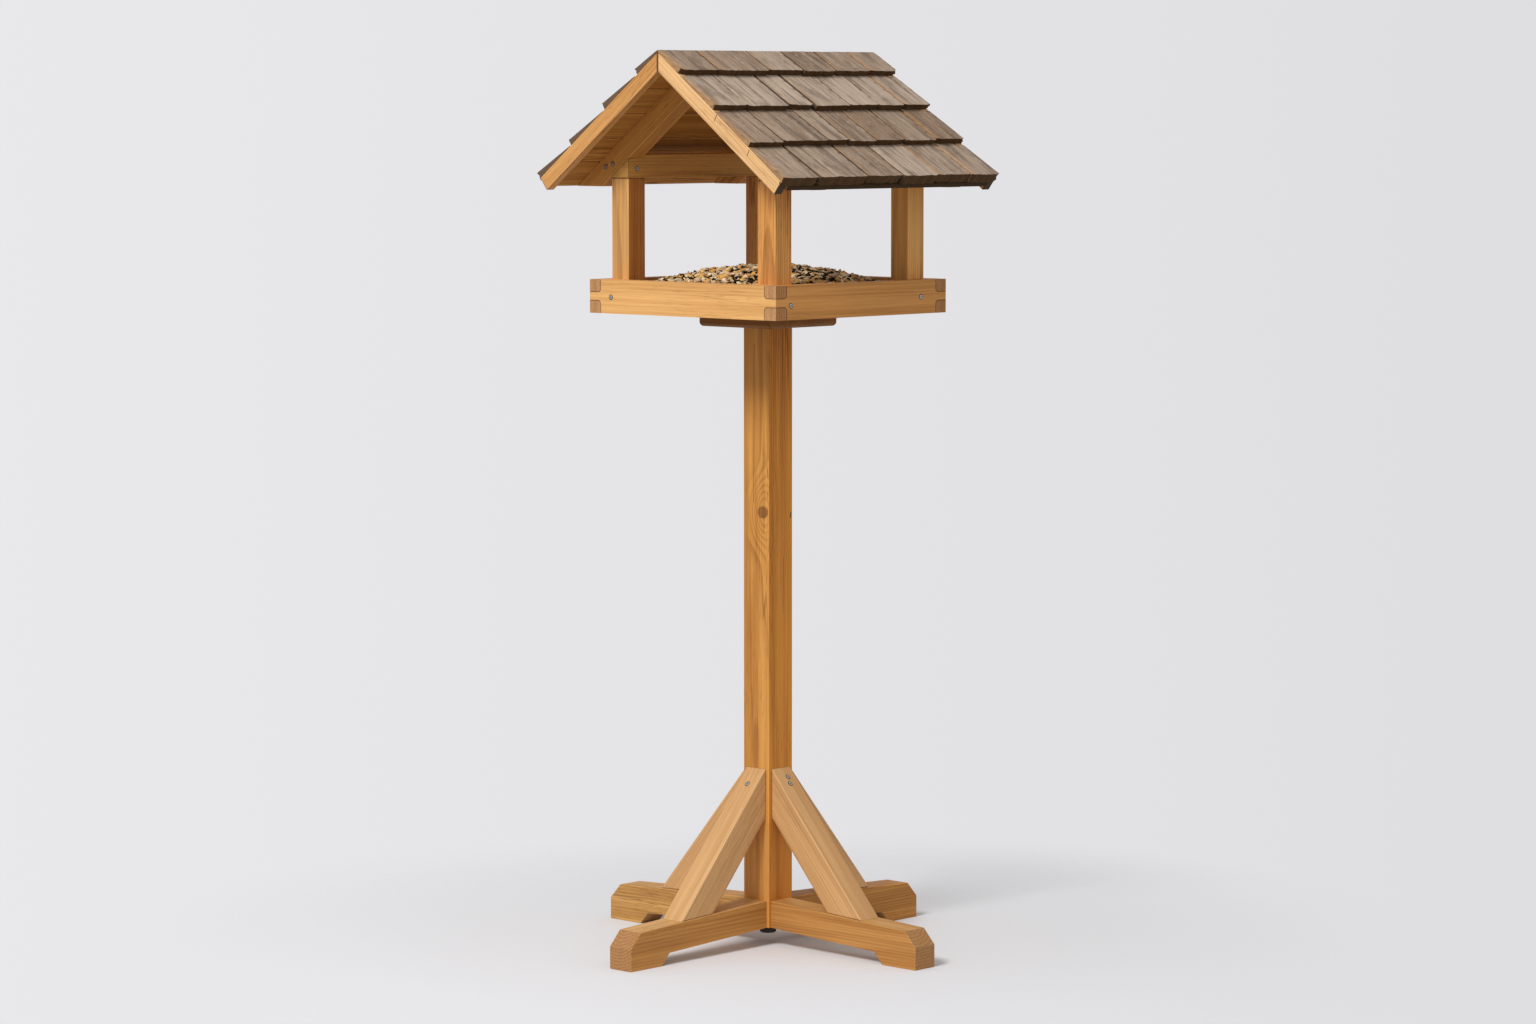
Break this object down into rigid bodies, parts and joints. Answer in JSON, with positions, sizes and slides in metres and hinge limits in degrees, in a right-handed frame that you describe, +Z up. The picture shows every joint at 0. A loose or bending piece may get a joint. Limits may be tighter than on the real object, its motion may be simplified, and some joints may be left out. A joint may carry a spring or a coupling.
{
  "type": "bird table",
  "caption": "Free-standing wooden bird table: braced cross feet, square post, seed tray with uprights and a gable roof of lapped shakes.",
  "frame": {"origin": "on the ground, under the axis of the post", "axes": "+Z up, +X to the right and +Y to the back, seen from the gable front; the ridge runs along Y"},
  "size_m": [0.756, 0.756, 1.6051],
  "materials": {
    "oiled_timber": "oiled",
    "end_grain": "oiled",
    "sawn_board": "sawn",
    "weathered_shake": "weathered",
    "bird_seed": "loose grain",
    "dark_stud": "matt"
  },
  "bodies": {
    "root": {"barge_board_back_left": "oiled_timber", "barge_board_back_right": "oiled_timber", "barge_board_front_left": "oiled_timber", "barge_board_front_right": "oiled_timber", "base_stud": "dark_stud", "brace_back": "oiled_timber", "brace_front": "oiled_timber", "brace_left": "oiled_timber", "brace_right": "oiled_timber", "corner_keys_back_left": "end_grain", "corner_keys_back_right": "end_grain", "corner_keys_front_left": "end_grain", "corner_keys_front_right": "end_grain", "foot_back": "oiled_timber", "foot_front": "oiled_timber", "foot_left": "oiled_timber", "foot_right": "oiled_timber", "mounting_plate": "oiled_timber", "post": "oiled_timber", "rafter_back_left": "oiled_timber", "rafter_back_right": "oiled_timber", "rafter_front_left": "oiled_timber", "rafter_front_right": "oiled_timber", "sarking_left": "sawn_board", "sarking_right": "sawn_board", "seed_heap": "bird_seed", "shakes_left_eave": "weathered_shake", "shakes_left_lower": "weathered_shake", "shakes_left_ridge": "weathered_shake", "shakes_left_upper": "weathered_shake", "shakes_right_eave": "weathered_shake", "shakes_right_lower": "weathered_shake", "shakes_right_ridge": "weathered_shake", "shakes_right_upper": "weathered_shake", "tray_board_back": "oiled_timber", "tray_board_front": "oiled_timber", "tray_board_left": "oiled_timber", "tray_board_right": "oiled_timber", "tray_floor": "sawn_board", "upright_back_left": "oiled_timber", "upright_back_right": "oiled_timber", "upright_front_left": "oiled_timber", "upright_front_right": "oiled_timber", "wall_plate_left": "oiled_timber", "wall_plate_right": "oiled_timber"}
  },
  "joints": []
}
